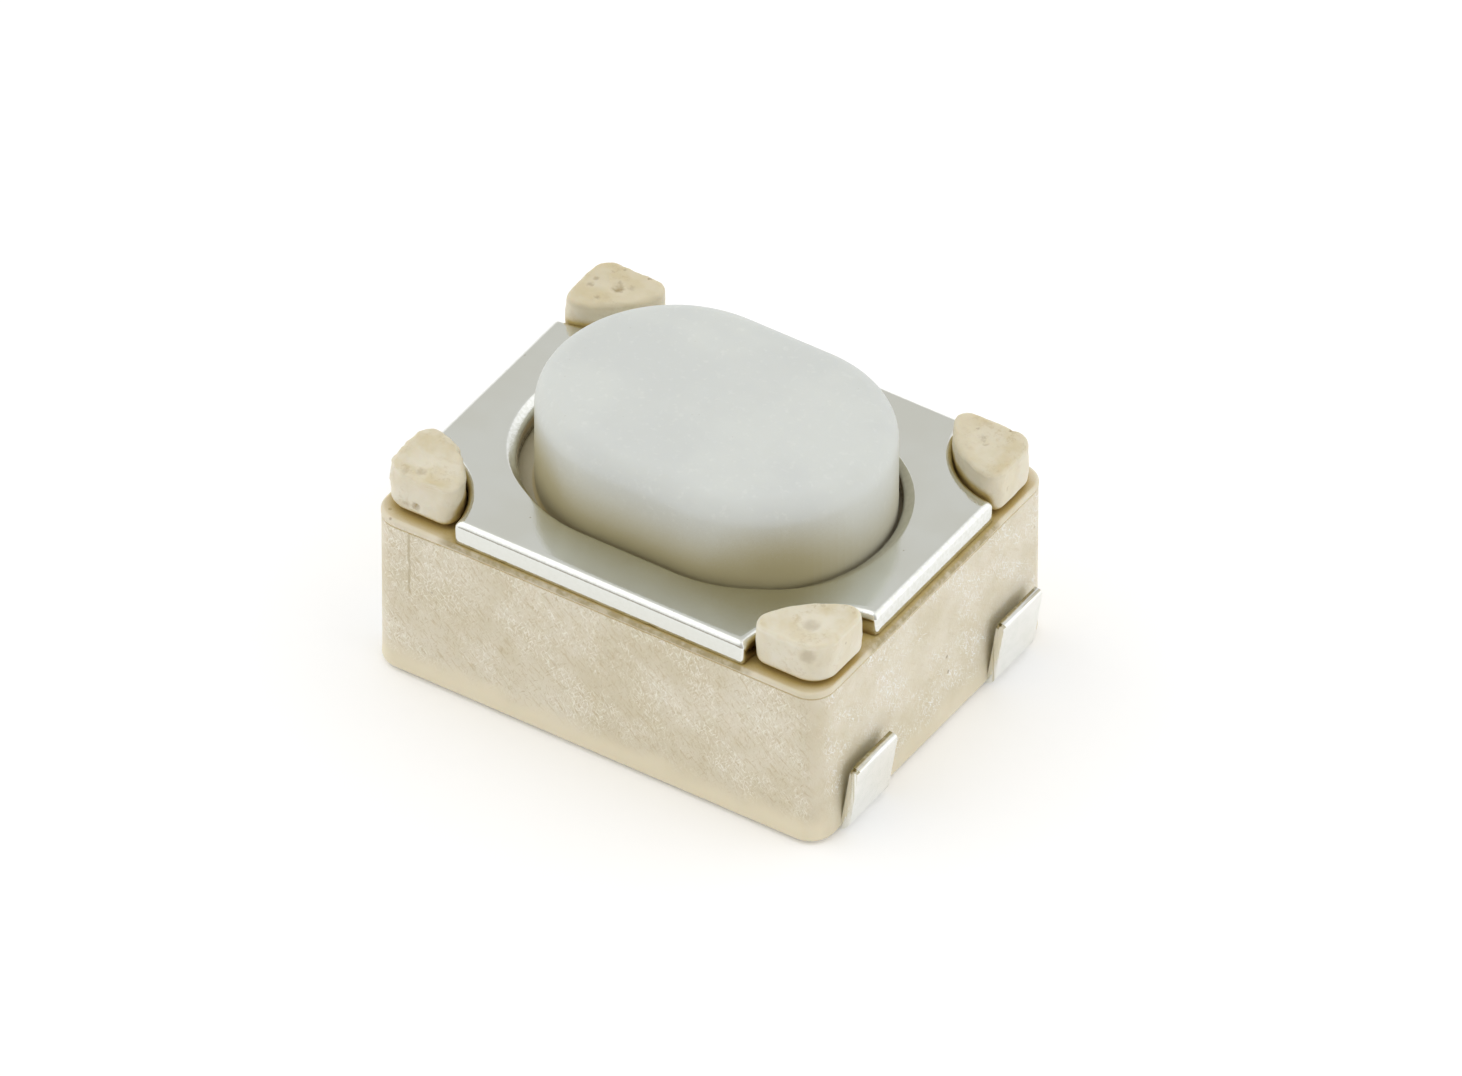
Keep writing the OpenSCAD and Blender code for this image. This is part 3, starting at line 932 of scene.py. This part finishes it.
def nicked(outline, z):
    """The cover's bottom edge, with a few small breaks where the sheet tore off its die."""
    points = []
    for px, py in outline:
        worn = smoothstep(COVER_HIGH.x - 0.06, COVER_HIGH.x - 0.02, px)
        torn = max(0, wander((px, py, 0), NICK_SIZE, 7.0) - 0.35 + 0.2 * worn)
        points.append((px, py, z + (NICK_DEPTH + NICK_DEPTH_WORN * worn) * torn))
    return points


def cover_side_loops():
    """Lines down the cover's outer side: the rolled upper edge, the straight shear and the torn bottom."""
    low, high = COVER_LOW.z, COVER_HIGH.z
    loops = [at_height(cover_outline(COVER_EDGE_R + FACE_MARGIN), high)]
    for inset, drop in edge_steps(COVER_EDGE_R, 6):
        loops.append(at_height(cover_outline(inset), high - drop))
    loops.append(at_height(cover_outline(0), low + 0.06))
    loops.append(nicked(cover_outline(0), low + 0.012))
    loops.append(nicked(cover_outline(0.008), low))
    loops.append(at_height(cover_outline(0.03), low))
    return loops


def lip_steps(count):
    """Inset and drop, from 1 to 0 and from 0 to 1, of a lip that slopes gently and then turns down."""
    inset, drop, steps = 0, 0, [(0, 0)]
    for i in range(count):
        s = (i + 0.5) / count
        tilt = math.radians(27 * smoothstep(0, 0.22, s) + 60 * smoothstep(0.55, 1, s))
        inset += math.cos(tilt)
        drop += math.sin(tilt)
        steps.append((inset, drop))
    return [(1 - a / inset, b / drop) for a, b in steps]


def around_hole(inset, extra, z):
    """A line round the hole; the lip is wide at the hole's round ends and narrow along its sides."""
    inner = oval(*HOLE_HALF)
    spread = oval(HOLE_HALF[0] + LIP_WIDE, HOLE_HALF[1] + LIP_WIDE)
    points = []
    for (ax, ay), (bx, by) in zip(inner, spread):
        wide = LIP_NARROW + (LIP_WIDE - LIP_NARROW) * smoothstep(0.7, 0.97, abs(ax) / math.hypot(ax, ay))
        share = (wide * inset + extra) / LIP_WIDE
        points.append((ax + (bx - ax) * share, ay + (by - ay) * share, z))
    return points


def cover_hole_loops():
    """Lines down the side of the cover's hole: the sloping lip, the straight side and an eased bottom."""
    low, high = COVER_LOW.z, COVER_HIGH.z
    loops = [around_hole(1, FACE_MARGIN, high)]
    for inset, drop in lip_steps(14):
        loops.append(around_hole(inset, 0, high - LIP_DEEP * drop))
    for growth, z in ((0, low + 0.01), (0.01, low), (0.03, low)):
        loops.append(at_height(oval(HOLE_HALF[0] + growth, HOLE_HALF[1] + growth), z))
    return loops


def cover_piece(material):
    """The stamped sheet: its outer side, the side of its hole and its two flat faces."""
    outer = cover_side_loops()
    hole = cover_hole_loops()
    skin = joined([
        loft(outer, False, False),
        loft(hole, False, False),
        flat_between(outer[0], hole[0], COVER_HIGH.z, True),
        flat_between(outer[-1], hole[-1], COVER_LOW.z, False),
    ])
    make_piece("stamped_cover", skin, material, "base", "cover_plate", smooth=50)


# The button

STEM_HALF = (1.49, 1.10)
STEM_TOP_R = 0.19
STEM_ROWS = 8
STEM_CROWN = 0.012
NUB_R = 0.5
NUB_TIP_R = 0.1
FLANGE_T = 0.3
FLANGE_R = 0.03
FLANGE_GAP = 0.01
FILLET = 0.02


def button_line(half_x, half_y, z):
    """An oval round the button's own middle, which sits a little off the hole's middle."""
    return at_height(oval(half_x, half_y, (BUTTON_LOW.x + BUTTON_HIGH.x) / 2), z)


def lower_edge(half_x, half_y, z, r, count):
    """Lines round a quarter-circle edge of the button, from a flat underside out to its side."""
    return [button_line(half_x - inset, half_y - inset, z + drop) for inset, drop in edge_steps(r, count)]


def upper_edge(half_x, half_y, z, r, count):
    """Lines round a quarter-circle edge of the button, from its side in to a flat top."""
    steps = reversed(edge_steps(r, count))
    return [button_line(half_x - inset, half_y - inset, z - drop) for inset, drop in steps]


def button_piece(material):
    """Oval button, its flange under the cover and the round nub that presses the dome."""
    low, high = BUTTON_LOW.z, BUTTON_HIGH.z
    flange_x = (BUTTON_HIGH.x - BUTTON_LOW.x) / 2
    flange_y = BUTTON_HIGH.y
    flange_top = BODY_TOP - FLANGE_GAP
    flange_low = flange_top - FLANGE_T
    loops = [button_line(NUB_R * share, NUB_R * share, low) for share in (0.4, 0.8)]
    loops += lower_edge(NUB_R, NUB_R, low, NUB_TIP_R, 4)
    loops.append(button_line(NUB_R, NUB_R, flange_low - FILLET))
    loops.append(button_line(NUB_R + FILLET, NUB_R + FILLET, flange_low))
    loops += lower_edge(flange_x, flange_y, flange_low, FLANGE_R, 3)
    loops += upper_edge(flange_x, flange_y, flange_top, FLANGE_R, 3)
    half_x, half_y = STEM_HALF
    loops.append(button_line(half_x + FILLET, half_y + FILLET, flange_top))
    stem_low, stem_high = flange_top + FILLET, high - STEM_TOP_R
    for k in range(STEM_ROWS):
        loops.append(button_line(half_x, half_y, stem_low + (stem_high - stem_low) * k / STEM_ROWS))
    # The top edge is a soft round, and the top swells by a hair
    loops += upper_edge(half_x, half_y, high - STEM_CROWN, STEM_TOP_R, 12)
    for share in (0.9, 0.75, 0.6, 0.45, 0.3, 0.15):
        z = high - STEM_CROWN * share * share
        loops.append(button_line((half_x - STEM_TOP_R) * share, (half_y - STEM_TOP_R) * share, z))
    make_piece("oval_button", loft(loops), material, "button", "push_button", smooth=60)


# The contacts, the dome and the film

def from_cad(node):
    """A CAD node's mesh in millimetres, to be worked on."""
    work = bmesh.new()
    work.from_mesh(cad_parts[node].data)
    bmesh.ops.scale(work, vec=(1 / MM,) * 3, verts=work.verts)
    bmesh.ops.remove_doubles(work, verts=work.verts, dist=1e-5)
    return work


def ease(work, edges, r, segments):
    """Rounds edges of a mesh that is being worked on."""
    bmesh.ops.bevel(
        work, geom=edges, offset=r, segments=segments, profile=0.5, affect="EDGES", clamp_overlap=True
    )


def worked_skin(work):
    """Points and faces of a mesh that was worked on, which is freed."""
    work.verts.ensure_lookup_table()
    verts = [v.co.copy() for v in work.verts]
    faces = [tuple(v.index for v in f.verts) for f in work.faces]
    work.free()
    return verts, faces


# How much less the ends at -X lean, and from which height
LESS_LEAN = 0.095
LESS_LEAN_FROM = 0.13
ROLL_R = 0.034
EDGE_R = 0.012
# Where each stamping's ends begin, on the side towards -Y, and how far the shear's nick reaches from there
NICK_Y = {"centre_contact": -1.325, "outer_contact": 0.765}
NICK_BEFORE = 0.05
NICK_AFTER = 0.036
NICK_DEEP = 0.022
NICK_CLEAR = 0.05


def shear_nick(node, sign_x):
    """What the shear's nick takes from one end's top edge."""
    near, far = NICK_Y[node] - NICK_BEFORE, NICK_Y[node] + NICK_AFTER
    low, high = BODY_HIGH.x, TAB_HIGH.x + 0.1
    corners = [(sign_x * low, near), (sign_x * high, near), (sign_x * high, far), (sign_x * low, far)]
    return loft([at_height(corners, z) for z in (TAB_HIGH.z - NICK_DEEP, TAB_HIGH.z + NICK_CLEAR)])


def contact_piece(node, name, material):
    """A folded stamping with eased edges, and ends with a rolled top edge and a shear's nick."""
    work = from_cad(node)
    bmesh.ops.dissolve_limit(work, angle_limit=math.radians(1.5), verts=work.verts, edges=work.edges)
    rolled = [
        e for e in work.edges
        if all(v.co.z > TAB_HIGH.z - 0.06 and abs(v.co.x) > TAB_HIGH.x - 0.03 for v in e.verts)
        and abs(e.verts[0].co.y - e.verts[1].co.y) > 0.3
    ]
    ease(work, rolled, ROLL_R, 4)
    sharp = [e for e in work.edges if len(e.link_faces) == 2 and e.calc_face_angle(0) > math.radians(50)]
    ease(work, sharp, EDGE_R, 3)
    made = helper_object("work_" + name, worked_skin(work))
    for sign_x in (1, -1):
        combine(made, helper_object("work_nick", shear_nick(node, sign_x)), "DIFFERENCE")
    verts, faces = skin_of(made)
    for v in verts:
        # The ends at -X lean out less than those at +X
        if v.x < -BODY_HIGH.x + 0.05 and v.z > LESS_LEAN_FROM:
            v.x += LESS_LEAN * (v.z - LESS_LEAN_FROM)
    make_piece(name, (verts, faces), material, "base", node, smooth=35)


def dome_and_film_pieces():
    """The snap dome and the film over it, each made from its CAD mesh and given a mesh of its own."""
    skin = worked_skin(from_cad("snap_dome"))
    dome = make_piece("spring_dome", skin, dome_material(), "base", "snap_dome", smooth=35)
    skin = worked_skin(from_cad("dust_film"))
    film = make_piece("polyimide_film", skin, film_material(), "base", "dust_film", smooth=35)
    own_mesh(dome)
    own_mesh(film)


# Stage, light and camera

def floor():
    """Plain pale ground that keeps the shadow, a little lighter for the camera so that it ends up white."""
    mesh = bpy.data.meshes.new("ground")
    reach = 1.5
    corners = [(-reach, -reach, 0), (reach, -reach, 0), (reach, reach, 0), (-reach, reach, 0)]
    mesh.from_pydata(corners, [], [(0, 1, 2, 3)])
    obj = bpy.data.objects.new("ground", mesh)
    bpy.context.scene.collection.objects.link(obj)
    material = bpy.data.materials.new("ground")
    material.use_nodes = True
    n = Nodes(material.node_tree)
    path = n.add("ShaderNodeLightPath").outputs
    seen = n.largest(path["Is Camera Ray"], path["Is Glossy Ray"])
    shade(n, Base_Color=(0.97, 0.97, 0.97, 1), Roughness=0.9, Specular_IOR_Level=0.1,
          Emission_Color=(1, 1, 1, 1), Emission_Strength=n.times(seen, 0.12))
    mesh.materials.append(material)


def lobe(n, direction, toward, edge, full):
    """From 0 to 1 round one direction of the sky, fading from an edge angle to a full angle in degrees."""
    dot = n.vector_math("DOT_PRODUCT", direction, Vector(toward).normalized(), "Value")
    return n.remap(dot, math.cos(math.radians(edge)), math.cos(math.radians(full)))


# Soft boxes and dim sides of the room: direction, angle of the edge and of the full light, and amount
ROOM = [
    ((-0.1, -0.25, 1), 60, 20, 0.05),
    ((-0.6, -0.35, 0.7), 45, 20, 0.35),
    ((1, 0.35, 0.45), 60, 20, 0.30),
    ((-0.418, 0.64, 0.645), 42, 16, -0.22),
    ((0.5, -0.86, 0.25), 75, 25, -0.46),
    ((-0.4, -0.9, 0.0), 22, 8, -0.25),
]
ROOM_LEVEL = 0.98
ROOM_DARKEST = 0.03


def studio():
    """A white room: soft boxes overhead, to the left and to the right, and a dim warm side in front."""
    world = bpy.data.worlds.new("studio")
    bpy.context.scene.world = world
    world.use_nodes = True
    n = Nodes(world.node_tree)
    direction = n.add("ShaderNodeTexCoord").outputs["Generated"]
    light = ROOM_LEVEL
    for toward, edge, full, amount in ROOM:
        light = n.plus(light, n.times(lobe(n, direction, toward, edge, full), amount))
    light = n.largest(light, ROOM_DARKEST)
    colour = n.mix(n.remap(light, 0.75, 0.2), (1, 1, 1, 1), (1, 0.86, 0.62, 1))
    shown = n.add("ShaderNodeLightPath").outputs["Is Camera Ray"]
    strength = n.add("ShaderNodeMix", {0: shown, 2: light, 3: 1.0}, data_type="FLOAT").outputs[0]
    seen_colour = n.mix(shown, colour, (1, 1, 1, 1))
    background = n.add("ShaderNodeBackground", {"Color": seen_colour, "Strength": strength})
    n.add("ShaderNodeOutputWorld", {0: background.outputs[0]})


def camera():
    """The photograph's long lens, from the right, in front and above."""
    azimuth, elevation, roll = math.radians(33.22), math.radians(40.25), math.radians(0.09)
    distance, pixels_per_mm, frame_width = 262.0, 127.3, 1462
    aim_right, aim_up = 0.164, 0.82
    back = Vector((
        math.sin(azimuth) * math.cos(elevation), -math.cos(azimuth) * math.cos(elevation), math.sin(elevation)
    ))
    right = Vector((math.cos(azimuth), math.sin(azimuth), 0))
    up = back.cross(right)
    data = bpy.data.cameras.new("camera")
    data.sensor_width = 36
    data.lens = pixels_per_mm * distance / frame_width * data.sensor_width
    data.clip_start, data.clip_end = 0.01, 10
    obj = bpy.data.objects.new("camera", data)
    bpy.context.scene.collection.objects.link(obj)
    place = (back * distance + right * aim_right + up * aim_up) * MM
    turn = Matrix((right, up, back)).transposed() @ Matrix.Rotation(roll, 3, "Z")
    obj.matrix_world = Matrix.Translation(place) @ turn.to_4x4()
    bpy.context.scene.camera = obj


bpy.context.scene.view_settings.view_transform = "Standard"
camera()
studio()
floor()
housing_piece(moulding_material())
cover_piece(cover_material())
button_piece(button_material())
contact_metal = contact_material()
contact_piece("centre_contact", "centre_terminals", contact_metal)
contact_piece("outer_contact", "outer_terminals", contact_metal)
dome_and_film_pieces()
